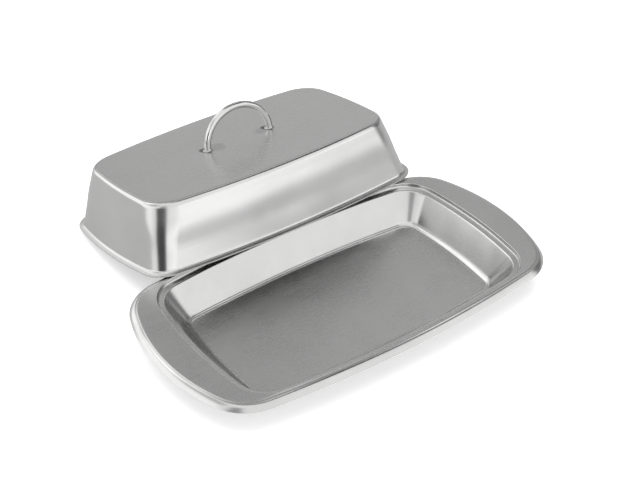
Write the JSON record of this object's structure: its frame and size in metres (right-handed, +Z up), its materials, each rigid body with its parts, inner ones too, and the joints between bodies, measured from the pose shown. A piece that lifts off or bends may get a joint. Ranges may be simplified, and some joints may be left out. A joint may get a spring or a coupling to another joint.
{
  "type": "butter dish",
  "caption": "Stainless steel butter dish: a shallow rectangular tray with wide end wings, and a box-shaped cover with a wire loop handle, leaning open behind it.",
  "frame": {"origin": "middle of the tray's flat underside, level with the surface that the dish stands on", "axes": "+X along the dish, from wing to wing; +Y towards the lid, which leans behind the tray; +Z up"},
  "size_m": [0.2, 0.1885, 0.0596],
  "materials": {
    "satin_steel": "satin brushed",
    "wire_steel": "smooth drawn wire",
    "weld_steel": "dull, slightly rough"
  },
  "bodies": {
    "tray": {"tray": "satin_steel"},
    "lid": {"lid_cover": "satin_steel", "lid_handle": "wire_steel", "handle_weld_left": "weld_steel", "handle_weld_right": "weld_steel"}
  },
  "joints": [
    {"name": "lid_lift", "type": "slide", "parent": "tray", "child": "lid", "axis": [0, 0, 1], "range_m": [0, 0.12]}
  ]
}
